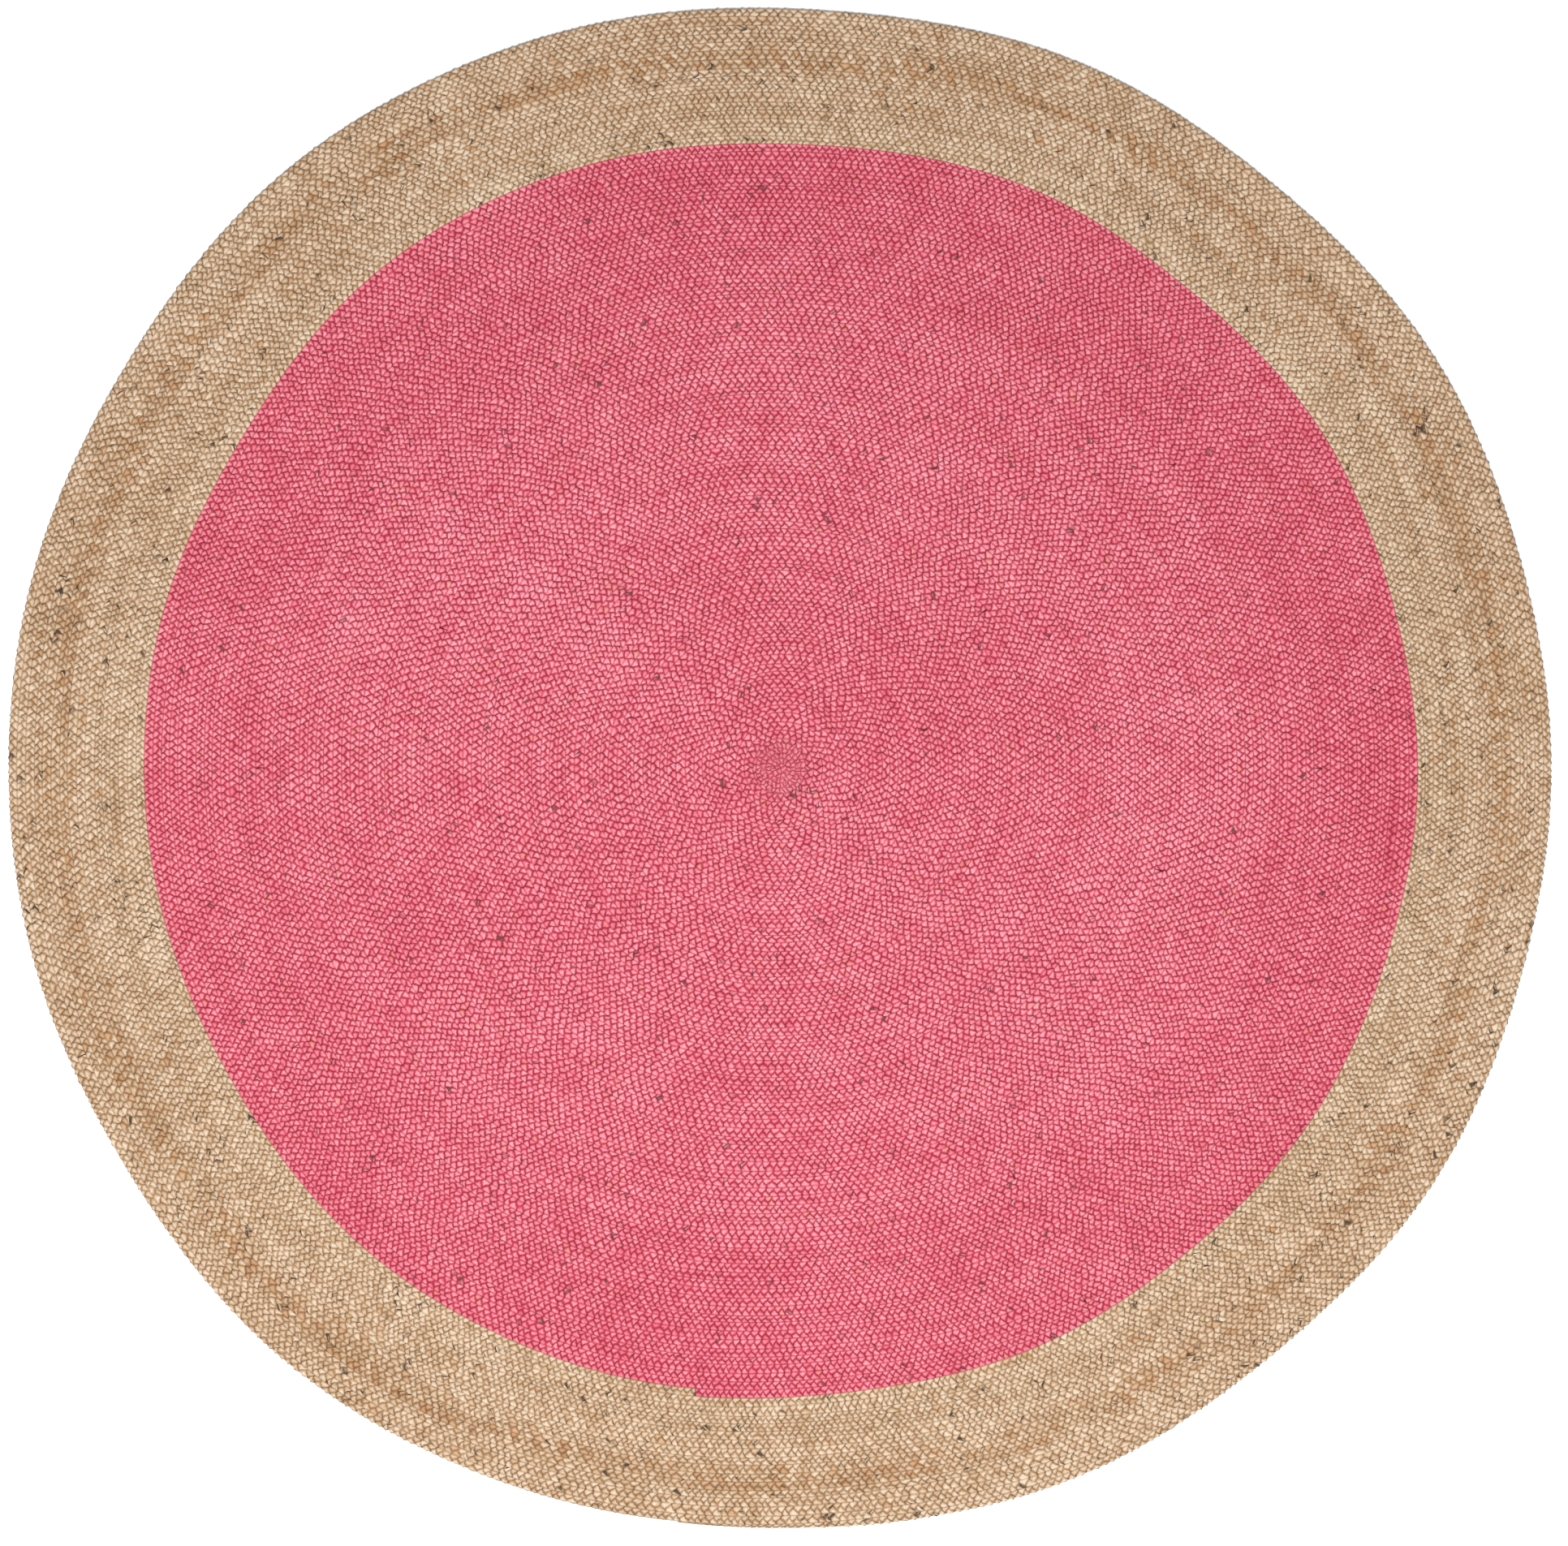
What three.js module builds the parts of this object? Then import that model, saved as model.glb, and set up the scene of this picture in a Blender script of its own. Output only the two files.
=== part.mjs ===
// Round area rug, 6 ft across: a flat three-strand jute braid wound edge to edge in one flat spiral.
// The dyed field and the undyed border are plaited in lengths that are spliced end to end, and each
// length is its own solid. Millimetres, +Z up, underside on z = 0, centre of the outline at the origin.

import * as THREE from 'three';

// Driving dimensions, in millimetres.
const DIAMETER = 1828.8;
const BORDER_WIDTH = 161;
const BRAID_WIDTH = 10.05;
const THICKNESS = 8;
const SEAM_GAP = 0.3;
const TAIL_TAPER = 240;
const TAIL_TIP_WIDTH = 2.5;
const EYE_OFFSET = 4.8;

// How far the outline swings in and out of a true circle, in millimetres, for each number of
// swings round the rug. The swings shrink evenly towards the centre.
const OUT_OF_ROUND = new Map([
  [2, 4.7], [3, 2.6], [4, -2.7], [5, -1.6], [6, 1.9], [7, -1.7], [8, -0.9], [10, 0.7], [11, 1.9],
]);

// Number of spliced lengths, and the facets that stand for one full turn.
const FIELD_LENGTHS = 18;
const BORDER_LENGTHS = 8;
const STATIONS = 48;

// The tail lies at this station, counted clockwise from +X.
const TAIL_STATION = 13;

// Half a turn less than a whole number of braids reaches the mean radius, because a spiral's edge
// climbs by one braid in its last turn.
const MEAN_RADIUS = DIAMETER / 2;
const TURNS = Math.round(MEAN_RADIUS / BRAID_WIDTH + 0.5);
const PITCH = MEAN_RADIUS / (TURNS - 0.5);
const FIELD_TURNS = Math.round((MEAN_RADIUS - BORDER_WIDTH) / PITCH + 0.5);

// Winding position, in stations from the centre, where each length ends.
// Equal lengths of braid make equal steps in the square of the winding position.
function lengthEnds(firstTurn, lastTurn, count) {
  const ends = [];
  for (let i = 0; i <= count; i += 1) {
    const turn = Math.sqrt(firstTurn ** 2 + (lastTurn ** 2 - firstTurn ** 2) * i / count);
    ends.push(Math.round(turn * STATIONS));
  }
  return ends;
}

// Angle of a winding position. The braid winds outwards clockwise, seen from above.
function azimuth(position) {
  const tailShift = TURNS * STATIONS - TAIL_STATION;
  return -2 * Math.PI * (position - tailShift) / STATIONS;
}

// Point of the plan at a nominal radius and a winding position: out of round, and with the rings'
// common centre drifting to the outline's centre.
function planPoint(radius, position) {
  const angle = azimuth(position);
  let swing = 0;
  OUT_OF_ROUND.forEach((amplitude, count) => {
    swing += amplitude * Math.cos(count * angle);
  });
  const r = radius * (1 + swing / MEAN_RADIUS);
  const drift = EYE_OFFSET * (1 - radius / MEAN_RADIUS);
  return new THREE.Vector2(r * Math.cos(angle) + drift, r * Math.sin(angle));
}

// Nominal radius of the spiral seam at a winding position.
function seamRadius(position) {
  return PITCH * position / STATIONS;
}

// Nominal radius of a braid's outer edge: the seam, or the tapering tail.
function outerRadius(position) {
  const fromTail = (TURNS * STATIONS - position) * 2 * Math.PI * MEAN_RADIUS / STATIONS;
  const narrowing = (PITCH - TAIL_TIP_WIDTH) * Math.max(0, 1 - fromTail / TAIL_TAPER);
  return seamRadius(position) - SEAM_GAP / 2 - narrowing;
}

// Nominal radius of a braid's inner edge.
function innerRadius(position) {
  return seamRadius(position - STATIONS) + SEAM_GAP / 2;
}

// One full turn of an edge, from a start position: the start, the whole stations between, and the end.
function turnOfEdge(radiusAt, start) {
  const positions = [start];
  for (let whole = Math.round(start) + 1; whole < Math.round(start) + STATIONS; whole += 1) {
    positions.push(whole);
  }
  positions.push(start + STATIONS);
  return positions.map((position) => planPoint(radiusAt(position), position));
}

// Half of the end gap at a winding position, as a share of a station.
function endTrim(position) {
  return SEAM_GAP / 2 * STATIONS / (2 * Math.PI * seamRadius(position - STATIONS / 2));
}

// A length of braid: all the ground between its first turn's inner edge and its last turn's outer
// edge. The length at the centre is closed and has no inner edge. A hole's points run the other way
// round from its outline's.
function braidLength(name, start, end, material) {
  const lastTurn = end - endTrim(end) - STATIONS;
  const outline = new THREE.Shape(turnOfEdge(outerRadius, lastTurn));
  if (start > 0) {
    const firstTurn = start + endTrim(start);
    outline.holes.push(new THREE.Path(turnOfEdge(innerRadius, firstTurn).reverse()));
  }
  const geometry = new THREE.ExtrudeGeometry(outline, { depth: THICKNESS, bevelEnabled: false });
  const mesh = new THREE.Mesh(geometry, material);
  mesh.name = name;
  return mesh;
}

function dyedJute() {
  return new THREE.MeshStandardMaterial({ color: 0xdc6f7f, roughness: 0.9, metalness: 0 });
}

function naturalJute() {
  return new THREE.MeshStandardMaterial({ color: 0xc3a486, roughness: 0.9, metalness: 0 });
}

// A run of lengths, spliced end to end, that starts and ends at the given turns.
function windLengths(group, prefix, firstTurn, lastTurn, count, makeMaterial) {
  const ends = lengthEnds(firstTurn, lastTurn, count);
  for (let i = 0; i < count; i += 1) {
    const name = `${prefix}_${String(i + 1).padStart(2, '0')}`;
    group.add(braidLength(name, ends[i], ends[i + 1], makeMaterial()));
  }
}

function buildRug() {
  const rug = new THREE.Group();
  windLengths(rug, 'pink_braid', 0, FIELD_TURNS, FIELD_LENGTHS, dyedJute);
  windLengths(rug, 'natural_braid', FIELD_TURNS, TURNS, BORDER_LENGTHS, naturalJute);
  const box = new THREE.Box3().setFromObject(rug);
  const centre = box.getCenter(new THREE.Vector3());
  rug.position.set(-centre.x, -centre.y, -box.min.z);
  return rug;
}

export default buildRug();
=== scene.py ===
"""Round jute rug: a flat three-strand braid wound edge to edge in one spiral, pink in the field and
undyed in the border. Metres, +Z up, underside on z = 0. A winding position is counted in turns from
the centre, and the braid winds outwards clockwise, seen from above."""

import math

import bpy
import numpy as np
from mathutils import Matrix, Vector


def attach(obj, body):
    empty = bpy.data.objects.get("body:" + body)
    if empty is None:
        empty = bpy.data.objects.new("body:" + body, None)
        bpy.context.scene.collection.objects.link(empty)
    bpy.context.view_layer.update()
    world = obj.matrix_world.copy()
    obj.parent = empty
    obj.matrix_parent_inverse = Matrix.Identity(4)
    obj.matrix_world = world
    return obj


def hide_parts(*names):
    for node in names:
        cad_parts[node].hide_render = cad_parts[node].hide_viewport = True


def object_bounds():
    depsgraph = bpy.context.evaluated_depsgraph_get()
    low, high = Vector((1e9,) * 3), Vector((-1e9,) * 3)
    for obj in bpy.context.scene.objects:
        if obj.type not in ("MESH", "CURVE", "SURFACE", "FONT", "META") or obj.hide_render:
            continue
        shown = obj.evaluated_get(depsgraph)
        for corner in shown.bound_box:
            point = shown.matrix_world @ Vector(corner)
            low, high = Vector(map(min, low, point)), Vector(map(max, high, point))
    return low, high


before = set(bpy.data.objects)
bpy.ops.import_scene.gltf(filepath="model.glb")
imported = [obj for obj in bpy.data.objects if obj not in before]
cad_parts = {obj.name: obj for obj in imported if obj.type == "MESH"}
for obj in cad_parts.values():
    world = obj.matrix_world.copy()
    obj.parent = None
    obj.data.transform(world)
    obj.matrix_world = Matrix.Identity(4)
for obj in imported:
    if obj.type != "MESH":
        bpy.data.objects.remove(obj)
cad_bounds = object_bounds()

MM = 0.001

# ------------------------------------------------------------ the rug's plan, in the maker's own sizes
BRAID_WIDTH = 10.05 * MM
BORDER_WIDTH = 161 * MM
SEAM_GAP = 0.3 * MM
TAIL_TAPER = 240 * MM
TAIL_TIP_WIDTH = 2.5 * MM
EYE_OFFSET = 4.8 * MM
OUT_OF_ROUND_MM = {2: 4.7, 3: 2.6, 4: -2.7, 5: -1.6, 6: 1.9, 7: -1.7, 8: -0.9, 10: 0.7, 11: 1.9}
STATIONS = 48
TAIL_STATION = 13
OUTLINE_SAMPLES = 1441

CAD_SIZE = np.array(cad_bounds[1]) - np.array(cad_bounds[0])
THICKNESS = float(CAD_SIZE[2])
PINK_NODES = sorted(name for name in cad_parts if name.startswith("pink_braid"))
NATURAL_NODES = sorted(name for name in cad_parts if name.startswith("natural_braid"))


def swing(angle):
    """How far the outline stands outside its mean radius: a sum of cosines round the rug."""
    return MM * sum(height * np.cos(count * angle) for count, height in OUT_OF_ROUND_MM.items())


def outline_extra_width():
    """What the swings add to the mean diameter along X: both sides' furthest reach, less the diameter."""
    angle = np.linspace(0, 2 * np.pi, OUTLINE_SAMPLES)
    across = (1 + swing(angle)) * np.cos(angle)
    return across.max() - across.min() - 2


MEAN_RADIUS = (float(CAD_SIZE[0]) - outline_extra_width()) / 2
TURNS = round(MEAN_RADIUS / BRAID_WIDTH + 0.5)
PITCH = MEAN_RADIUS / (TURNS - 0.5)
FIELD_TURNS = round((MEAN_RADIUS - BORDER_WIDTH) / PITCH + 0.5)

# ------------------------------------------------------------ the braid's own sizes and hand
# Lengths are in metres, or in millimetres where the name ends in MM. Places across the braid are shares
# of its width, counted from its middle, and heights and drops are shares of its thickness.
PINK_LOBE = 9.0 * MM
PINK_EDGE_LOBE = 8.6 * MM
NATURAL_LOBE = 8.4 * MM
RIM_LOBE = 9.5 * MM
EYE_LOBE_SHARE = 0.75
SHORT_LOBE_TURNS = 7
PINK_UNEVEN = 0.13
NATURAL_UNEVEN = 0.17
STATION_SHIFT = 0.035
TABLE_STEPS = 240
STEPS = 4
SIDES = 7
ZIGZAG = 0.2
PINK_LEAN = 0.17
NATURAL_LEAN = 0.21
BRAID_EDGE = 0.504
EDGE_SWELL = 0.03
CROWN_PLACE = 0.24
UNDERSIDE_PLACE = 0.33
CROWN_HEIGHT = 0.97
GROOVE_HEIGHT = 0.72
SEAM_HEIGHT = 0.85
RIM_HEIGHT = 0.5
CROWN_DROP = 0.17
SEAM_DROP = 0.07
CHANNEL_HEIGHT = 0.1
RIM_DENT_MM = 1.7
RIM_WAVER_MM = 0.3
TAIL_FLATTENING = 0.35
EYE_TURNS = 4
EYE_HEIGHT = 0.9
EYE_LEVELLING = 0.7
STITCH = 9.0 * MM
STITCH_REACH = 1.5 * MM
THREAD_HEIGHT = 1.7 * MM
THREAD = 0.7 * MM
FIBRE = 0.16 * MM
FIBRE_POINTS = 5
FIBRE_SLANT = math.radians(-52)
FIBRE_STRETCH = 7
BUMP_DEPTH = 0.9 * MM
EYE_RADIUS = 30 * MM
EYE_RING = 6 * MM
EYE_FOLD = 5 * MM
EYE_WAVER = 5 * MM
DULL_FROM = 50 * MM
DULL_TO = 16 * MM


def azimuth(turn):
    """Angle of a winding position: one full circle clockwise a turn, with the tail at its station."""
    return -2 * np.pi * (turn - TURNS + TAIL_STATION / STATIONS)


def hand_wander(x, y):
    """Radial wander of the rings, in metres: a sum of slow and quick waves in x, y and the radius, so
    neighbouring turns swell and narrow together as hand-laid braid does."""
    r = np.hypot(x, y)
    a = np.arctan2(y, x)
    slow = 0.9 * np.sin(9.1 * x + 6.3 * y + 0.7) + 0.7 * np.sin(-7.7 * x + 11.9 * y + 2.1)
    rings = 0.55 * np.sin(151 * r + 2 * a + 1.3) + 0.5 * np.sin(97 * r - 3 * a + 4.0)
    close = 0.3 * np.sin(263 * r + 5 * a + 2.2) + 0.25 * np.sin(331 * r - 4 * a)
    fade = np.clip(r / 0.06, 0, 1) * np.clip((MEAN_RADIUS - r) / 0.03, 0, 1)
    return MM * fade * (slow + rings + close)


def lay_out(radius, turn):
    """Plan point of a nominal radius at a winding position: the circle swung out of round, moved by
    the hand's wander, with the common centre drifting towards the outline's centre."""
    angle = azimuth(turn)
    r = radius * (1 + swing(angle) / MEAN_RADIUS)
    drift = EYE_OFFSET * (1 - radius / MEAN_RADIUS)
    x = r * np.cos(angle)
    y = r * np.sin(angle)
    r = r + hand_wander(x, y)
    return r * np.cos(angle) + drift, r * np.sin(angle)


def winding_tables():
    """For finely spaced winding positions: arc length from the centre along the braid's middle, and the
    number of lobes up to there. Lobes are short in the tight first turns and where the two braids meet,
    and longest near the rim."""
    turn = np.linspace(0, TURNS, TURNS * TABLE_STEPS + 1)
    middle = PITCH * (np.maximum(turn, 0) + np.maximum(turn - 1, 0)) / 2
    x, y = lay_out(middle, turn)
    step = np.hypot(np.diff(x), np.diff(y))
    places = [FIELD_TURNS - 20, FIELD_TURNS - 10, FIELD_TURNS + 5, TURNS - 7]
    lobe = np.interp(turn[1:], places, [PINK_LOBE, PINK_EDGE_LOBE, NATURAL_LOBE, RIM_LOBE])
    grown = np.clip(turn[1:] / SHORT_LOBE_TURNS, 0, 1)
    lobe = lobe * (EYE_LOBE_SHARE + (1 - EYE_LOBE_SHARE) * grown)
    length = np.concatenate([[0], np.cumsum(step)])
    count = np.concatenate([[0], np.cumsum(step / lobe)])
    return turn, length, count


TURN_TABLE, LENGTH_TABLE, LOBE_TABLE = winding_tables()


def outline_centre():
    """Centre of the outline's bounding box, which is the model's origin."""
    turn = np.linspace(TURNS - 1, TURNS, OUTLINE_SAMPLES)
    x, y = lay_out(PITCH * turn, turn)
    return (x.max() + x.min()) / 2, (y.max() + y.min()) / 2


CENTRE = outline_centre()


def length_ends(first_turn, last_turn, count):
    """Winding positions where the spliced lengths end: equal steps in the square of the position."""
    share = np.arange(count + 1) / count
    turn = np.sqrt(first_turn**2 + (last_turn**2 - first_turn**2) * share)
    return np.round(turn * STATIONS) / STATIONS


def braid_stations(start, end, uneven, rng):
    """Places of all stations along one length, counted in lobes from the rug's centre: four stations a
    lobe. Lobe lengths vary by the share uneven, and stations shift a little within them."""
    low, high = np.interp([start, end], TURN_TABLE, LOBE_TABLE)
    lobes = max(8, round(high - low))
    sizes = np.exp(rng.normal(0, uneven, lobes))
    edges = low + (high - low) * np.concatenate([[0], np.cumsum(sizes)]) / sizes.sum()
    place = np.interp(np.arange(lobes * STEPS + 1) / STEPS, np.arange(lobes + 1), edges)
    place[1:-1] += rng.uniform(-STATION_SHIFT, STATION_SHIFT, len(place) - 2)
    return place


def braid_section(stations, lean, rng):
    """Seven points round the braid at every station, as shares of its width and height.

    Points 0 to 4 cross the top from the outer seam to the inner one. Point 2 follows the zigzag groove
    between the two rows of lobes: the width times ZIGZAG, outwards where two lobes of the outer row
    meet and inwards where two of the inner row meet. Points 1 and 3 are the crowns, halfway between
    groove and seam, and drop where two lobes of their row meet. Points 5 and 6 are the underside.
    Returns arrays (stations, 7): across, up, lead, how far a point leans forward as a share of a lobe,
    and side, the distance from the groove across the braid, positive in the outer row."""
    outer = (1 - np.cos(np.arange(stations) * 2 * np.pi / STEPS)) / 2
    inner = 1 - outer
    groove = ZIGZAG * (inner - outer) * (1 + 0.2 * rng.normal(0, 1, stations))
    groove = groove + 0.01 * rng.normal(0, 1, stations)
    across = np.empty((stations, SIDES))
    across[:, 0] = BRAID_EDGE + EDGE_SWELL * outer
    across[:, 1] = 0.52 * groove + CROWN_PLACE
    across[:, 2] = groove
    across[:, 3] = 0.52 * groove - CROWN_PLACE
    across[:, 4] = -BRAID_EDGE - EDGE_SWELL * inner
    across[:, 5] = -UNDERSIDE_PLACE
    across[:, 6] = UNDERSIDE_PLACE
    plump = 0.03 * rng.normal(0, 1, (stations, 2))
    up = np.empty((stations, SIDES))
    up[:, 0] = SEAM_HEIGHT - SEAM_DROP * inner
    up[:, 1] = CROWN_HEIGHT - CROWN_DROP * inner + plump[:, 0] * outer
    up[:, 2] = GROOVE_HEIGHT + 0.02 * rng.normal(0, 1, stations)
    up[:, 3] = CROWN_HEIGHT - CROWN_DROP * outer + plump[:, 1] * inner
    up[:, 4] = SEAM_HEIGHT - SEAM_DROP * outer
    up[:, 5] = CHANNEL_HEIGHT * outer
    up[:, 6] = CHANNEL_HEIGHT * inner
    lead = lean * np.clip(1 - np.abs(across) / 0.5, 0, 1) ** 0.8
    lead[:, 5:] = 0
    side = across - groove[:, None]
    return across, np.minimum(up, 1), lead, side


def ring_faces(stations, sides):
    """Quads between neighbouring stations of a closed ring of points, and a face on each end."""
    step, side = np.meshgrid(np.arange(stations - 1), np.arange(sides), indexing="ij")
    after = (side + 1) % sides
    near, far = step * sides, (step + 1) * sides
    quads = np.stack([near + side, near + after, far + after, far + side], -1)
    ends = np.stack([np.arange(sides)[::-1], np.arange(sides) + (stations - 1) * sides])
    return quads.reshape(-1, 4), ends


def make_mesh(name, points, *face_groups):
    """Mesh from an array of points and arrays of faces, each with its own number of corners."""
    corners = np.concatenate([group.ravel() for group in face_groups]).astype(np.int32)
    totals = np.concatenate([np.full(len(group), group.shape[1]) for group in face_groups]).astype(np.int32)
    mesh = bpy.data.meshes.new(name)
    mesh.vertices.add(len(points))
    mesh.vertices.foreach_set("co", points.astype(np.float32).ravel())
    mesh.loops.add(len(corners))
    mesh.loops.foreach_set("vertex_index", corners)
    mesh.polygons.add(len(totals))
    mesh.polygons.foreach_set("loop_start", np.concatenate([[0], np.cumsum(totals)[:-1]]).astype(np.int32))
    mesh.polygons.foreach_set("loop_total", totals)
    mesh.update(calc_edges=True)
    mesh.validate()
    mesh.shade_smooth()
    piece = bpy.data.objects.new(name, mesh)
    bpy.context.scene.collection.objects.link(piece)
    return piece


def store(piece, name, values):
    """Puts one vector a point into a named attribute of the piece's mesh."""
    layer = piece.data.attributes.new(name, "FLOAT_VECTOR", "POINT")
    layer.data.foreach_set("vector", np.asarray(values, np.float32).ravel())


def crisp_seams(piece, outside):
    """Marks the two edges where the braid meets its neighbours as sharp, so that the top stays round
    and the wall stays upright. outside marks the stations on the rug's rim, whose outer edge is soft."""
    edges = np.empty(len(piece.data.edges) * 2, np.int32)
    piece.data.edges.foreach_get("vertices", edges)
    first, second = edges.reshape(-1, 2).T
    corner = first % SIDES
    runs_along = (corner == second % SIDES) & ((corner == 0) | (corner == 4))
    soft = (corner == 0) & outside[first // SIDES]
    layer = piece.data.attributes.new("sharp_edge", "BOOLEAN", "EDGE")
    layer.data.foreach_set("value", runs_along & ~soft)


def bake_map(piece, stations):
    """UV map that cuts the braid's skin into equal stretches and stacks them: the winding direction is
    along each stretch, the way round the section is across it. Both end faces sit in the last corner."""
    station_length_mm, skin_girth_mm = 2.4, 30
    rows = round(math.sqrt(stations * station_length_mm / skin_girth_mm))
    per_row = math.ceil((stations - 1) / rows) + 2
    girth = np.array([0, 0.16, 0.31, 0.46, 0.60, 0.73, 0.87, 0.96]) * 0.98
    step, side = np.meshgrid(np.arange(stations - 1), np.arange(SIDES), indexing="ij")
    row = step // per_row
    left = step % per_row
    near = girth[side]
    far = girth[side + 1]
    u = np.stack([left, left, left + 1, left + 1], -1) / per_row
    v = (row[..., None] + np.stack([near, far, far, near], -1)) / (rows * 1.04)
    turn = np.arange(SIDES) * 2 * np.pi / SIDES
    disc = np.stack([np.cos(turn), np.sin(turn)], -1) * 0.008
    ends = np.concatenate([disc[::-1] + (0.03, 0.982), disc + (0.06, 0.982)])
    layer = piece.data.uv_layers.new(name="OFBake")
    values = np.concatenate([np.stack([u, v], -1).reshape(-1, 2), ends])
    layer.uv.foreach_set("vector", values.astype(np.float32).ravel())


def plait(name, start, end, seed, lean, uneven, bands):
    """One spliced length of braid: the seven-point section carried along the spiral between two winding
    positions. The section spans the two seams, so its width follows the spiral's pitch; at the centre
    it closes on the middle, and at the tail it tapers.

    Its "cell" attribute holds the lobe count, the distance from the groove and the distance from the
    nearer seam, in braid widths; its "lot" attribute the jute's lightness and streaks and a seed."""
    rng = np.random.default_rng(seed)
    place = braid_stations(start, end, uneven, rng)
    stations = len(place)
    across, up, lead, side = braid_section(stations, lean, rng)
    turns = np.interp(np.clip(place[:, None] + lead, place[0], place[-1]), LOBE_TABLE, TURN_TABLE)
    along = np.interp(turns, TURN_TABLE, LENGTH_TABLE)
    low, high = np.interp([start, end], TURN_TABLE, LENGTH_TABLE)
    along = np.clip(along, low + SEAM_GAP / 2, high - SEAM_GAP / 2)
    turns = np.interp(along, LENGTH_TABLE, TURN_TABLE)
    narrow = np.clip(1 - (LENGTH_TABLE[-1] - along) / TAIL_TAPER, 0, 1)
    outer_edge = PITCH * turns - (PITCH - TAIL_TIP_WIDTH) * narrow
    inner_edge = np.maximum(PITCH * (turns - 1), 0)
    radius = inner_edge + (outer_edge - inner_edge) * (0.5 + across)
    outside = np.clip((turns - (TURNS - 1)) * 12, 0, 1) * (across > 0.45)
    between = (1 + np.cos(np.arange(stations) * 2 * np.pi / STEPS))[:, None] / 2
    up = up * (1 - TAIL_FLATTENING * narrow) - outside * (SEAM_HEIGHT - RIM_HEIGHT)
    waver = rng.normal(0, 1, (stations, 1))
    radius = radius - outside * MM * (RIM_DENT_MM * between + RIM_WAVER_MM * waver)
    eye = np.clip(1 - turns / EYE_TURNS, 0, 1)
    up = up + eye * (EYE_HEIGHT - up) * (up > 0.3) * EYE_LEVELLING
    x, y = lay_out(radius, turns)
    points = np.stack([x - CENTRE[0], y - CENTRE[1], up * THICKNESS], -1)
    piece = make_mesh(name, points.reshape(-1, 3), *ring_faces(stations, SIDES))
    crisp_seams(piece, turns[:, 0] > TURNS - 1)
    bake_map(piece, stations)

    count = np.broadcast_to(np.arange(stations)[:, None] / STEPS, across.shape)
    seam = np.maximum(BRAID_EDGE - np.abs(across), 0)
    seam[:, 5:] = 0.25
    store(piece, "cell", np.stack([count, side, seam], -1))
    places, lights, streaks = (np.array(column) for column in zip(*bands))
    light, streak = np.interp(turns, places, lights), np.interp(turns, places, streaks)
    store(piece, "lot", np.stack([light, streak, np.full(turns.shape, seed * 0.73)], -1))
    return piece, float(high - low)


def thin_tubes(name, paths, thickness):
    """Round threads with three sides: each path is a row of points (paths, points, 3). The rings stand
    across the path, on its level normal and the one above it, and both ends are closed."""
    count, points = paths.shape[:2]
    ahead = np.gradient(paths, axis=1)
    ahead /= np.linalg.norm(ahead, axis=-1, keepdims=True)
    level = np.stack([-ahead[..., 1], ahead[..., 0], np.zeros((count, points))], -1)
    level /= np.linalg.norm(level, axis=-1, keepdims=True)
    above = np.cross(ahead, level)
    turn = np.arange(3) * 2 * np.pi / 3 + np.pi / 2
    ring = level[:, :, None] * np.cos(turn)[:, None] + above[:, :, None] * np.sin(turn)[:, None]
    places = paths[:, :, None] + ring * thickness / 2
    quads, ends = ring_faces(points, 3)
    first = np.arange(count)[:, None, None] * points * 3
    quads, ends = (quads + first).reshape(-1, 4), (ends + first).reshape(-1, 3)
    return make_mesh(name, places.reshape(-1, 3), quads, ends)


def seam_lacing(name, first_turn, last_turn):
    """The thread that joins each turn to the one inside it: it zigzags along the seam's channel on the
    underside, a stitch a step, with its turning points pulled into the braid on either side."""
    low, high = np.interp([first_turn, last_turn], TURN_TABLE, LENGTH_TABLE)
    along = np.linspace(low, high, round((high - low) / STITCH))
    turn = np.interp(along, LENGTH_TABLE, TURN_TABLE)
    swap = np.where(np.arange(len(along)) % 2, 1.0, -1.0)
    x, y = lay_out(PITCH * (turn - 1) + STITCH_REACH * swap, turn)
    z = np.full(len(turn), THREAD_HEIGHT)
    return thin_tubes(name, np.stack([x - CENTRE[0], y - CENTRE[1], z], -1)[None], THREAD)


def loose_fibres(name, first_turn, last_turn, count, rim_share, seed):
    """Stray fibres: short arcs that leave the braid, rise a little and come down again, and on the rim
    stand out sideways. A fibre bends evenly along its length, and its height is half a sine."""
    rng = np.random.default_rng(seed)
    turn = np.sqrt(rng.uniform(first_turn**2, last_turn**2, count))
    on_rim = rng.random(count) < rim_share
    turn = np.where(on_rim, rng.uniform(TURNS - 0.95, TURNS - 0.15, count), turn)
    across = np.where(on_rim, 0.9, rng.uniform(0.1, 0.9, count))
    x, y = lay_out(PITCH * (turn - 1 + across), turn)
    out = azimuth(turn)
    heading = np.where(on_rim, out + rng.normal(0, 0.7, count), rng.uniform(0, 2 * np.pi, count))
    bend = rng.normal(0, 1.1, count)
    share = np.linspace(0, 1, FIBRE_POINTS)
    size = rng.uniform(5, 16, count) * MM * np.where(on_rim, 0.45, 1)
    angle = heading[:, None] + bend[:, None] * (share - 0.5)
    step = np.where(share > 0, size[:, None] / (FIBRE_POINTS - 1), 0)
    px = x[:, None] + np.cumsum(np.cos(angle) * step, axis=1) - CENTRE[0]
    py = y[:, None] + np.cumsum(np.sin(angle) * step, axis=1) - CENTRE[1]
    rise = rng.uniform(0.3, 1.6, count)[:, None] * MM
    base = np.where(on_rim, rng.uniform(0.35, 0.8, count), 0.9)[:, None] * THICKNESS
    pz = base + rise * np.where(on_rim[:, None], share, np.sin(np.pi * share))
    return thin_tubes(name, np.stack([px, py, pz], -1), FIBRE)


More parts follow.
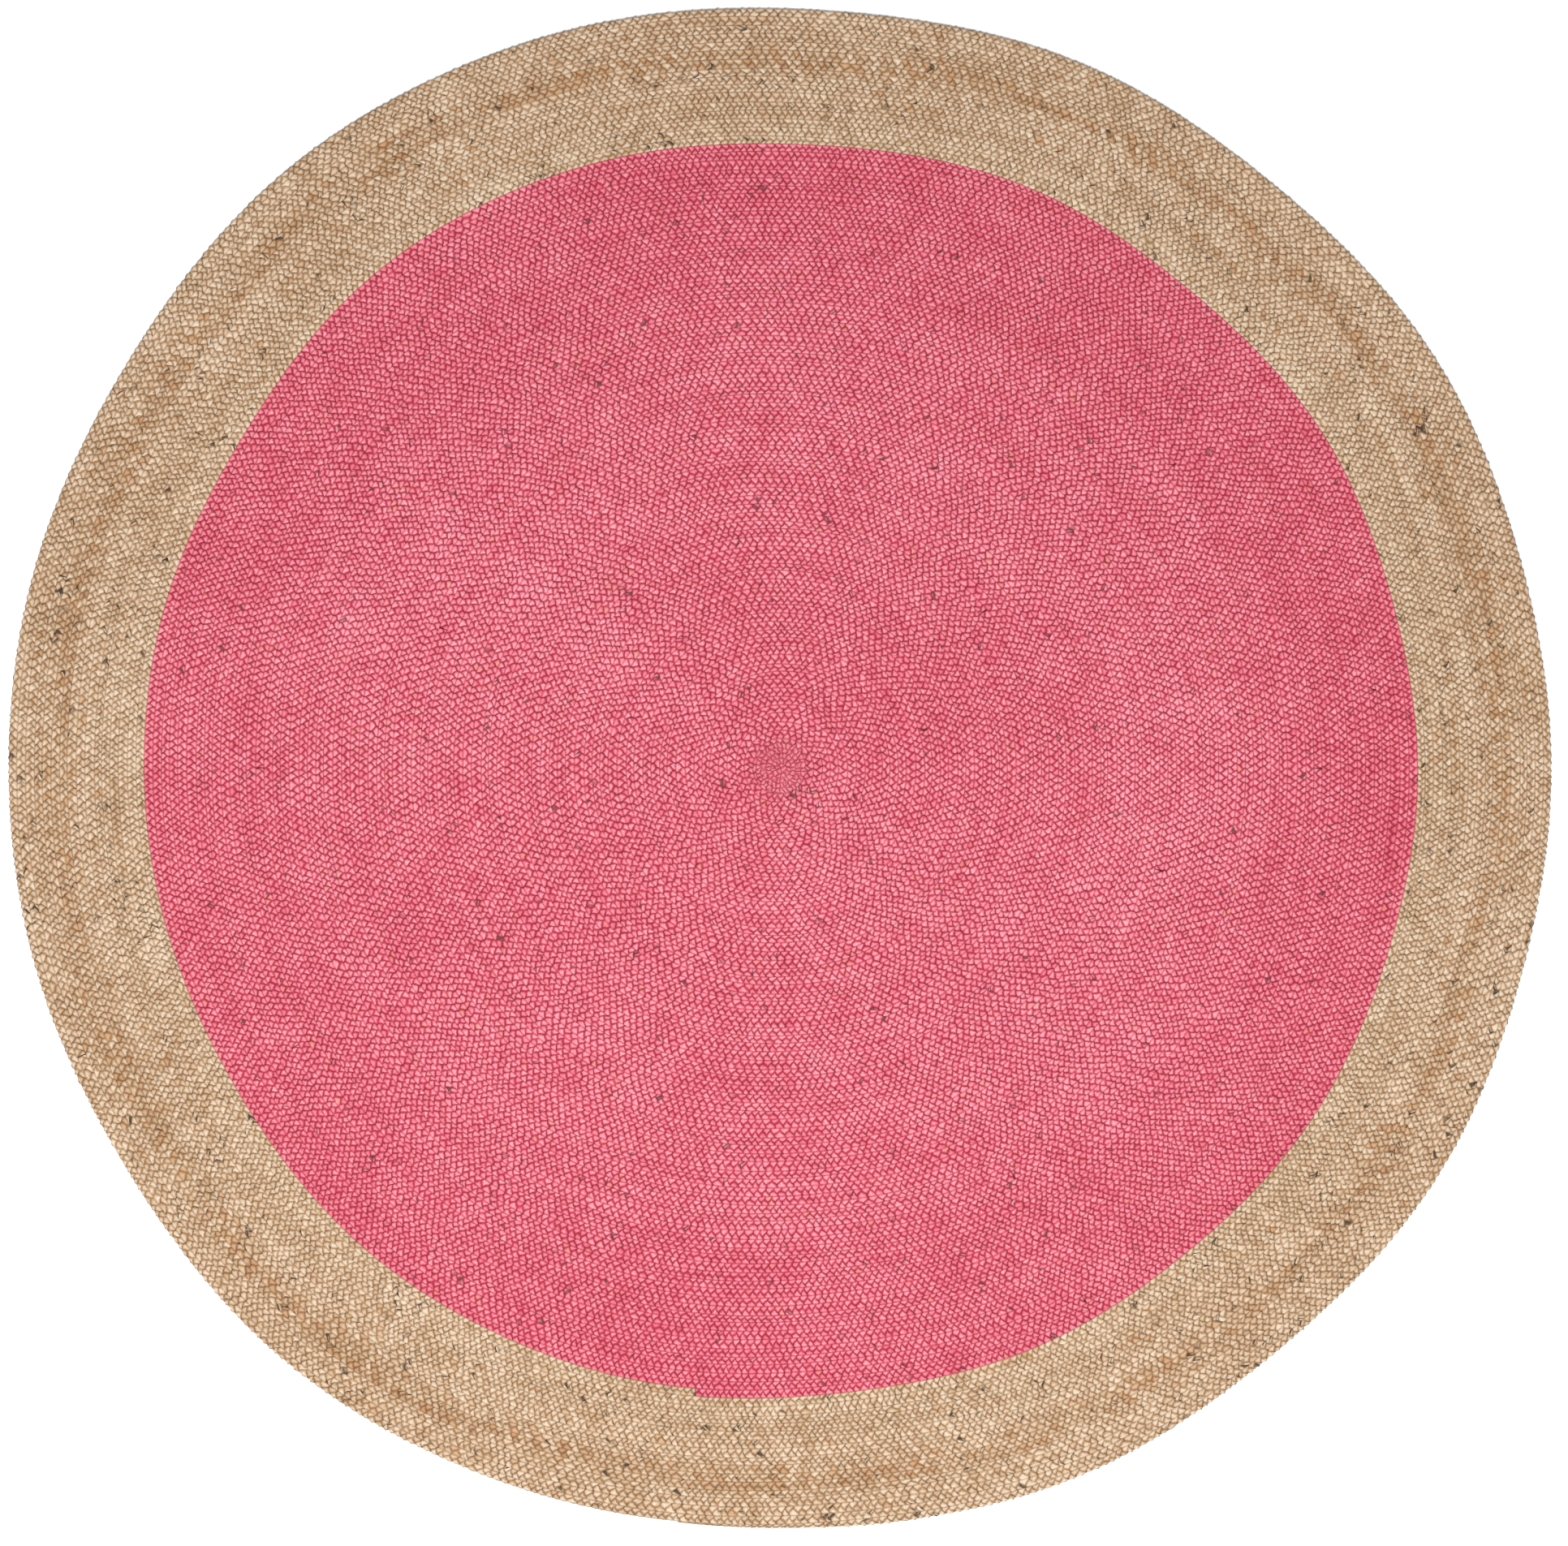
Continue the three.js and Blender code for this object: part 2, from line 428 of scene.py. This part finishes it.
# ------------------------------------------------------------ materials
def add(tree, kind, **settings):
    """New node of a kind, with its own settings and its unlinked inputs' values."""
    node = tree.nodes.new(kind)
    for key, value in settings.items():
        if key in node.inputs:
            node.inputs[key].default_value = value
        else:
            setattr(node, key, value)
    return node


def ramp(tree, factor, stops):
    """Colour ramp through (place, colour) stops."""
    node = tree.nodes.new("ShaderNodeValToRGB")
    elements = node.color_ramp.elements
    while len(elements) < len(stops):
        elements.new(0.5)
    for element, (place, colour) in zip(elements, stops):
        element.position = place
        element.color = (*colour, 1)
    tree.links.new(factor, node.inputs["Fac"])
    return node.outputs["Color"]


def math_node(tree, operation, first, second=0.0, third=0.0, clamp=False):
    """Math node on sockets or plain numbers."""
    node = tree.nodes.new("ShaderNodeMath")
    node.operation = operation
    node.use_clamp = clamp
    for socket, value in zip(node.inputs, (first, second, third)):
        if isinstance(value, (int, float)):
            socket.default_value = value
        else:
            tree.links.new(value, socket)
    return node.outputs[0]


def blend_colour(tree, mode, factor, first, second):
    """Colour mix of sockets or plain colours."""
    node = tree.nodes.new("ShaderNodeMix")
    node.data_type = "RGBA"
    node.blend_type = mode
    for socket, value in ((node.inputs[0], factor), (node.inputs[6], first), (node.inputs[7], second)):
        if isinstance(value, (int, float)):
            socket.default_value = value
        elif isinstance(value, tuple):
            socket.default_value = (*value, 1)
        else:
            tree.links.new(value, socket)
    return node.outputs[2]


def noise(tree, vector, scale, detail=3.0, roughness=0.6):
    """Noise value between about 0.3 and 0.7 over the given coordinates."""
    node = add(tree, "ShaderNodeTexNoise", Scale=scale, Detail=detail, Roughness=roughness)
    tree.links.new(vector, node.inputs["Vector"])
    return node.outputs["Fac"]


def vector_of(tree, *parts):
    """Vector from sockets or plain numbers."""
    node = tree.nodes.new("ShaderNodeCombineXYZ")
    for socket, value in zip(node.inputs, parts):
        if isinstance(value, (int, float)):
            socket.default_value = value
        else:
            tree.links.new(value, socket)
    return node.outputs[0]


def attribute_parts(tree, name):
    """The three parts of a named vector attribute."""
    source = add(tree, "ShaderNodeAttribute", attribute_name=name)
    parts = tree.nodes.new("ShaderNodeSeparateXYZ")
    tree.links.new(source.outputs["Vector"], parts.inputs[0])
    return parts.outputs


def fade(tree, value, first, last):
    """Smooth step from 0 at first to 1 at last."""
    node = add(tree, "ShaderNodeMapRange", interpolation_type="SMOOTHSTEP")
    node.inputs["From Min"].default_value = first
    node.inputs["From Max"].default_value = last
    tree.links.new(value, node.inputs["Value"])
    return node.outputs["Result"]


def plaited_lobes(tree):
    """The plait's pattern from the cell attribute. The side of the groove tells the row, and the inner
    row is half a lobe out of step. Returns the distance into a lobe from its nearest edge, the distance
    from its corners, two random numbers a lobe, the strand's number and the fibres' coordinates: they
    cross the lobe at a slant, mirrored between the rows."""
    count, side, seam = attribute_parts(tree, "cell")
    seed = attribute_parts(tree, "lot")[2]
    inner = math_node(tree, "LESS_THAN", side, 0.0)
    shifted = math_node(tree, "MULTIPLY_ADD", inner, 0.5, count)
    number = math_node(tree, "FLOOR", shifted)
    end = math_node(tree, "PINGPONG", shifted, 0.5)
    groove = math_node(tree, "MULTIPLY", math_node(tree, "ABSOLUTE", side), 0.8)
    # rim counts the seams between turns as lobe edges, so the seams also take the painted crease shade of the
    # grooves and the painted shading of the domes.
    rim = math_node(tree, "MULTIPLY_ADD", seam, 0.95, 0.055)
    edge = math_node(tree, "SMOOTH_MIN", math_node(tree, "SMOOTH_MIN", end, groove, 0.08), rim, 0.1)
    corner = math_node(tree, "ADD", end, math_node(tree, "MINIMUM", groove, seam))
    random = add(tree, "ShaderNodeTexWhiteNoise", noise_dimensions="3D")
    tree.links.new(vector_of(tree, number, inner, seed), random.inputs["Vector"])
    numbers = tree.nodes.new("ShaderNodeSeparateXYZ")
    tree.links.new(random.outputs["Color"], numbers.inputs[0])
    strand = math_node(tree, "FLOORED_MODULO", math_node(tree, "MULTIPLY_ADD", inner, 2.0, number), 3.0)
    slant = add(tree, "ShaderNodeMapping", vector_type="TEXTURE")
    slant.inputs["Rotation"].default_value = (0, 0, FIBRE_SLANT)
    slant.inputs["Scale"].default_value = (1, FIBRE_STRETCH, 1)
    fibre = vector_of(tree, count, seam, math_node(tree, "MULTIPLY", random.outputs["Value"], 9.0))
    tree.links.new(fibre, slant.inputs["Vector"])
    return edge, corner, (random.outputs["Value"], numbers.outputs[0]), strand, slant.outputs[0]


def mix_values(tree, factor, first, second):
    """Mix of two number sockets, or of a socket and a plain number."""
    return math_node(tree, "MULTIPLY_ADD", factor, math_node(tree, "SUBTRACT", second, first), first)


def crumpled_eye(tree, place, edge, corner, fibre):
    """The eye's own pattern inside EYE_RADIUS: the first turns are bent so tightly that their lobes are
    crushed into small folds. The folds lie in rings EYE_RING wide round the spiral's middle, each ring
    cut into pieces about EYE_FOLD long, and a noise makes rings and cuts waver."""
    centred = add(tree, "ShaderNodeMapping")
    centred.inputs["Location"].default_value = (CENTRE[0] - EYE_OFFSET, CENTRE[1], 0)
    centred.inputs["Scale"].default_value = (1, 1, 0)
    tree.links.new(place, centred.inputs["Vector"])
    flat = tree.nodes.new("ShaderNodeSeparateXYZ")
    tree.links.new(centred.outputs[0], flat.inputs[0])
    length = add(tree, "ShaderNodeVectorMath", operation="LENGTH")
    tree.links.new(centred.outputs[0], length.inputs[0])
    waver = noise(tree, place, 170.0, 1.0, 0.5)
    distance = math_node(tree, "MULTIPLY_ADD", waver, EYE_WAVER, length.outputs["Value"])
    distance = math_node(tree, "SUBTRACT", distance, EYE_WAVER / 2)
    ring = math_node(tree, "DIVIDE", distance, EYE_RING)
    row = math_node(tree, "ADD", math_node(tree, "FLOOR", ring), 0.5)
    angle = math_node(tree, "ARCTAN2", flat.outputs[1], flat.outputs[0])
    along = math_node(tree, "MULTIPLY", math_node(tree, "MULTIPLY", angle, row), EYE_RING / EYE_FOLD)
    along = math_node(tree, "MULTIPLY_ADD", waver, 1.6, along)
    cut = math_node(tree, "MULTIPLY", math_node(tree, "PINGPONG", along, 0.5), 0.8)
    side = math_node(tree, "MULTIPLY_ADD", math_node(tree, "PINGPONG", ring, 0.5), 0.85, 0.03)
    fold = math_node(tree, "SMOOTH_MIN", cut, side, 0.08)
    middle = fade(tree, distance, EYE_RADIUS + 0.5 * MM, EYE_RADIUS - 0.5 * MM)
    grain = add(tree, "ShaderNodeMapping")
    grain.inputs["Scale"].default_value = (40, 40, 40)
    tree.links.new(place, grain.inputs["Vector"])
    fibres = add(tree, "ShaderNodeMix", data_type="VECTOR")
    tree.links.new(middle, fibres.inputs[0])
    tree.links.new(fibre, fibres.inputs[4])
    tree.links.new(grain.outputs[0], fibres.inputs[5])
    edge = mix_values(tree, middle, edge, fold)
    corner = mix_values(tree, middle, corner, 0.4)
    return edge, corner, fibres.outputs[1], length.outputs["Value"]


def jute(name, shades, lobe_contrast, groove, groove_width, corner_colour, streak, fleck, bark_level,
         centre_dull):
    """Plaited jute: a shade for every lobe and strand, slanting fibres, lobes painted lighter in the middle
    and darker at the edges as a painted highlight and shade, grooves and seams painted darker as crease
    shade and darkest, with painted shade, at some of the lobes' corners, off-shade streaks and bark flecks.

    shades are the ramp from the darkest to the lightest fibres, lobe_contrast how much whole lobes
    differ, groove the colour between lobes, a painted crease shade, and groove_width how far it reaches
    into them, corner_colour that of the corners, a painted shade in their hollows, streak the tint of
    off-shade strands and fleck the colour of bark, which is rarer the higher bark_level is. centre_dull
    is the worn colour of the eye, if it has one."""
    material = bpy.data.materials.new(name)
    material.use_nodes = True
    tree = material.node_tree
    tree.nodes.clear()
    place = add(tree, "ShaderNodeTexCoord").outputs["Object"]
    edge, corner, random, strand, fibre = plaited_lobes(tree)
    bark = fade(tree, noise(tree, fibre, 1.9, 2.0, 0.5), bark_level, bark_level + 0.05)
    light, streaks, seed = attribute_parts(tree, "lot")
    count = attribute_parts(tree, "cell")[0]
    if centre_dull:
        edge, corner, fibre, distance = crumpled_eye(tree, place, edge, corner, fibre)

    patches = noise(tree, place, 3.2, 4.0, 0.55)
    fine_patches = noise(tree, place, 21.0, 2.0, 0.5)
    strands = noise(tree, fibre, 9.0, 3.0, 0.65)
    hairs = noise(tree, fibre, 34.0, 2.0, 0.6)
    slow = math_node(tree, "MULTIPLY", count, 0.035)
    yarn = noise(tree, vector_of(tree, slow, math_node(tree, "MULTIPLY", strand, 7.3), seed), 1.0, 3.0, 0.6)
    age = noise(tree, vector_of(tree, math_node(tree, "MULTIPLY", count, 0.09),
                                math_node(tree, "MULTIPLY", strand, 5.1), seed), 1.0, 2.0, 0.5)

    # Painted highlight and shade: dome rises from a lobe's edges to its middle, and with its weight in the
    # shade below it paints each lobe lighter in the middle and darker at the edges; further down it also
    # shapes the bump.
    dome = fade(tree, edge, 0.0, 0.26)
    rough_edge = math_node(tree, "MULTIPLY_ADD", hairs, 0.12, math_node(tree, "SUBTRACT", edge, 0.06))
    rough_edge = math_node(tree, "MULTIPLY_ADD", noise(tree, place, 130.0, 1.0, 0.5), 0.16, rough_edge)
    shade = math_node(tree, "MULTIPLY_ADD", light, 0.12, 0.5)
    for value, weight in (
        (patches, 0.34),
        (fine_patches, 0.32),
        (yarn, 0.5),
        (random[0], lobe_contrast),
        (strands, 1.6),
        (hairs, 1.1),
        (dome, 0.62),
    ):
        shade = math_node(tree, "MULTIPLY_ADD", value, weight, math_node(tree, "SUBTRACT", shade, weight / 2))
    colour = ramp(tree, shade, shades)

    aged = math_node(tree, "ADD", math_node(tree, "MULTIPLY_ADD", streaks, 0.16, -0.62), age)
    aged = math_node(tree, "MULTIPLY", aged, math_node(tree, "MULTIPLY_ADD", random[1], 6.0, 2.0), clamp=True)
    aged = math_node(tree, "MULTIPLY", aged, math_node(tree, "MULTIPLY_ADD", strands, 4.0, -1.1), clamp=True)
    colour = blend_colour(tree, "MULTIPLY", aged, colour, streak)
    if centre_dull:
        near = fade(tree, distance, DULL_FROM, DULL_TO)
        colour = blend_colour(tree, "MIX", math_node(tree, "MULTIPLY", near, 0.4), colour, centre_dull)

    # Painted shade: the grooves between lobes and the seams between turns take the darker groove colour as
    # crease shade, and in streaked strands the groove colour goes further towards the corner colour.
    between = fade(tree, rough_edge, groove_width, 0.08)
    groove = blend_colour(tree, "MIX", math_node(tree, "MULTIPLY", aged, 0.7), groove, corner_colour)
    colour = blend_colour(tree, "MIX", math_node(tree, "MULTIPLY", between, 0.92), colour, groove)
    # Painted shade: where lobes' corners meet, scattered hollows are darkened to the corner colour.
    hollows = fade(tree, noise(tree, place, 70.0, 2.0, 0.5), 0.42, 0.6)
    deep = math_node(tree, "MULTIPLY", fade(tree, corner, 0.28, 0.05), hollows)
    colour = blend_colour(tree, "MIX", deep, colour, corner_colour)
    where = fade(tree, noise(tree, place, 30.0, 2.0, 0.5), 0.46, 0.58)
    bark = math_node(tree, "MULTIPLY", bark, where)
    colour = blend_colour(tree, "MIX", bark, colour, fleck)

    height = math_node(tree, "MULTIPLY_ADD", strands, 0.9, dome)
    height = math_node(tree, "MULTIPLY_ADD", hairs, 0.3, height)
    bump = add(tree, "ShaderNodeBump", Strength=1.0, Distance=BUMP_DEPTH)
    tree.links.new(height, bump.inputs["Height"])
    surface = add(tree, "ShaderNodeBsdfPrincipled", Roughness=0.78)
    surface.inputs["Specular IOR Level"].default_value = 0.35
    surface.inputs["Sheen Weight"].default_value = 0.06
    surface.inputs["Sheen Roughness"].default_value = 0.45
    tree.links.new(colour, surface.inputs["Base Color"])
    tree.links.new(bump.outputs["Normal"], surface.inputs["Normal"])
    output = add(tree, "ShaderNodeOutputMaterial")
    tree.links.new(surface.outputs[0], output.inputs["Surface"])
    return material


def pink_jute():
    """Dyed jute: rose lobes, grooves painted deep rose as crease shade, undyed straw streaks and grey-brown
    bark.
    """
    shades = [(0.0, (0.35, 0.021, 0.050)), (0.35, (0.545, 0.072, 0.114)),
              (0.65, (0.685, 0.155, 0.208)), (1.0, (0.750, 0.315, 0.370))]
    return jute(
        "pink jute", shades, lobe_contrast=0.18, groove=(0.30, 0.007, 0.032), groove_width=0.195,
        corner_colour=(0.18, 0.006, 0.020), streak=(0.88, 0.88, 0.64), fleck=(0.085, 0.028, 0.028),
        bark_level=0.66, centre_dull=(0.47, 0.098, 0.126),
    )


def natural_jute():
    """Undyed jute: straw lobes, grooves painted fox brown as crease shade, brown streaks and dark bark."""
    shades = [(0.0, (0.233, 0.124, 0.055)), (0.35, (0.385, 0.245, 0.135)),
              (0.65, (0.512, 0.366, 0.238)), (1.0, (0.665, 0.540, 0.412))]
    return jute(
        "natural jute", shades, lobe_contrast=0.32, groove=(0.26, 0.115, 0.040), groove_width=0.140,
        corner_colour=(0.13, 0.056, 0.018), streak=(0.76, 0.55, 0.37), fleck=(0.032, 0.021, 0.012),
        bark_level=0.632, centre_dull=None,
    )


def spun_thread(name, dark, pale, grain):
    """Thread or single fibres: two tones along the length, with a fine rough grain."""
    material = bpy.data.materials.new(name)
    material.use_nodes = True
    tree = material.node_tree
    tree.nodes.clear()
    place = add(tree, "ShaderNodeTexCoord").outputs["Object"]
    tone = ramp(tree, noise(tree, place, grain, 2.0, 0.5), [(0.3, dark), (0.7, pale)])
    bump = add(tree, "ShaderNodeBump", Strength=0.5, Distance=0.1 * MM)
    tree.links.new(noise(tree, place, grain * 8, 1.0, 0.5), bump.inputs["Height"])
    surface = add(tree, "ShaderNodeBsdfPrincipled", Roughness=0.7)
    surface.inputs["Specular IOR Level"].default_value = 0.4
    tree.links.new(tone, surface.inputs["Base Color"])
    tree.links.new(bump.outputs["Normal"], surface.inputs["Normal"])
    output = add(tree, "ShaderNodeOutputMaterial")
    tree.links.new(surface.outputs[0], output.inputs["Surface"])
    return material


# Winding position in turns, lightness of the lot and strength of its streaks.
PINK_BANDS = [(0, -0.2, 0.0), (3, -0.2, 0.1), (5, 0.1, 0.6), (8, 0.1, 0.2), (14, 0.0, 0.1),
              (40, 0.25, 0.15), (56, 0.2, 0.2), (60, -0.2, 0.15), (75, -0.4, 0.05)]
NATURAL_BANDS = [(75, 0.5, 0.1), (77.5, 0.5, 0.15), (78.5, 0.0, 0.35), (80, 0.1, 0.3), (82, 0.6, 0.3),
                 (83.5, 0.1, 0.6), (84.5, -0.4, 1.1), (86, -0.2, 1.0), (87, 0.1, 0.3), (91, 0.2, 0.15)]


# ------------------------------------------------------------ building the rug
def wind_lengths(nodes, first_turn, last_turn, material, seed, lean, uneven, bands):
    """All spliced lengths between two winding positions, one for each CAD node."""
    ends = length_ends(first_turn, last_turn, len(nodes))
    for index, node in enumerate(nodes):
        piece, length = plait(
            "plaited_" + node, ends[index], ends[index + 1], seed + index, lean, uneven, bands
        )
        piece.data.materials.append(material)
        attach(piece, "root")
        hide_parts(node)


def add_small_piece(piece, material):
    """Gives a thread or a set of fibres its material and attaches it to the rug's root body."""
    piece.data.materials.append(material)
    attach(piece, "root")


def lay_floor():
    """Plain pale floor, far wider than the rug."""
    half = 40.0
    corners = np.array([[-half, -half, 0], [half, -half, 0], [half, half, 0], [-half, half, 0]])
    floor = make_mesh("floor", corners, np.array([[0, 1, 2, 3]]))
    material = bpy.data.materials.new("pale floor")
    material.use_nodes = True
    surface = material.node_tree.nodes["Principled BSDF"]
    surface.inputs["Base Color"].default_value = (0.92, 0.92, 0.92, 1)
    surface.inputs["Roughness"].default_value = 0.9
    surface.inputs["Specular IOR Level"].default_value = 0.1
    floor.data.materials.append(material)
    floor.location.z = -0.3 * MM


def set_lights():
    """Even white surroundings and one broad soft lamp from the near side."""
    world = bpy.data.worlds.new("studio")
    world.use_nodes = True
    background = world.node_tree.nodes["Background"]
    background.inputs["Color"].default_value = (1.0, 1.0, 1.0, 1)
    background.inputs["Strength"].default_value = 0.5
    bpy.context.scene.world = world
    lamp_data = bpy.data.lights.new("softbox", "AREA")
    lamp_data.shape = "RECTANGLE"
    lamp_data.size = 2.0
    lamp_data.size_y = 1.2
    lamp_data.energy = 350
    lamp = bpy.data.objects.new("softbox", lamp_data)
    near, height = 1.9, 5.2
    lamp.location = (-0.3, -near, height)
    lamp.rotation_euler = (math.atan2(near, height), 0, 0)
    bpy.context.scene.collection.objects.link(lamp)


def set_camera():
    """Camera straight above, a little off the rug's centre, with a frame a 68th wider than the rug."""
    lens, sensor = 85.0, 36.0
    frame_margin = 1 / 68
    off_x, off_y = 4.8 * MM, -3.4 * MM
    frame_width = float(CAD_SIZE[0]) * (1 + frame_margin)
    camera_data = bpy.data.cameras.new("overhead")
    camera_data.lens = lens
    camera_data.sensor_width = sensor
    camera = bpy.data.objects.new("overhead", camera_data)
    camera.location = (off_x, off_y, THICKNESS + frame_width * lens / sensor)
    bpy.context.scene.collection.objects.link(camera)
    bpy.context.scene.camera = camera


set_camera()
set_lights()
lay_floor()
bpy.context.scene.view_settings.view_transform = "Standard"

wind_lengths(
    PINK_NODES, 0, FIELD_TURNS, pink_jute(),
    seed=100, lean=PINK_LEAN, uneven=PINK_UNEVEN, bands=PINK_BANDS,
)
wind_lengths(
    NATURAL_NODES, FIELD_TURNS, TURNS, natural_jute(),
    seed=200, lean=NATURAL_LEAN, uneven=NATURAL_UNEVEN, bands=NATURAL_BANDS,
)

pink_thread = spun_thread("pink thread", (0.36, 0.03, 0.07), (0.62, 0.13, 0.18), 180.0)
natural_thread = spun_thread("natural thread", (0.34, 0.22, 0.12), (0.62, 0.48, 0.33), 180.0)
pink_fibre = spun_thread("pink fibre", (0.50, 0.07, 0.11), (0.86, 0.36, 0.40), 60.0)
natural_fibre = spun_thread("natural fibre", (0.34, 0.20, 0.09), (0.80, 0.68, 0.50), 60.0)
add_small_piece(seam_lacing("seam_lacing_pink", 1.1, FIELD_TURNS), pink_thread)
add_small_piece(
    seam_lacing("seam_lacing_natural", FIELD_TURNS + 0.01, TURNS - 0.02), natural_thread
)
add_small_piece(loose_fibres("loose_fibres_pink", 1, FIELD_TURNS, 1900, 0.0, 301), pink_fibre)
add_small_piece(
    loose_fibres("loose_fibres_natural", FIELD_TURNS, TURNS, 1500, 0.3, 302), natural_fibre
)
